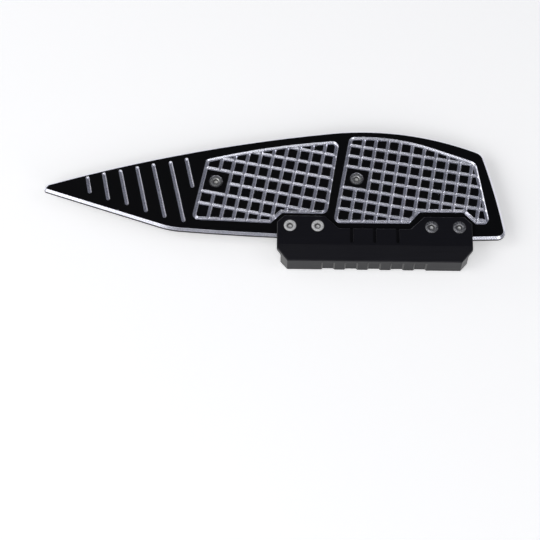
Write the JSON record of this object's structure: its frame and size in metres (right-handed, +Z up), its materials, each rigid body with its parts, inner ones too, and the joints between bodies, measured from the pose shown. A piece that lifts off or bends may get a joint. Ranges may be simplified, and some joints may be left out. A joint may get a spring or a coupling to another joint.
{
  "type": "scooter floorboard",
  "caption": "Black anodised scooter floorboard: a tapered plate with engraved tread panels, and a side step with a downturned skirt that is screwed to its outer edge.",
  "frame": {"origin": "midway between the two fixing screws, on the plate's underside", "axes": "+X to the front of the scooter, the blunt end of the plate; +Y to the scooter's middle; +Z up, out of the tread"},
  "size_m": [0.4258, 0.1387, 0.0251],
  "materials": {
    "plate_black": "satin black anodised, with the engraving and the edge chamfer milled bright",
    "step_black": "satin black anodised",
    "screw_steel": "plain stainless steel"
  },
  "bodies": {
    "root": {"floor_plate": "plate_black", "side_step": "step_black", "step_screws": "screw_steel", "plate_screws": "screw_steel"}
  },
  "joints": []
}
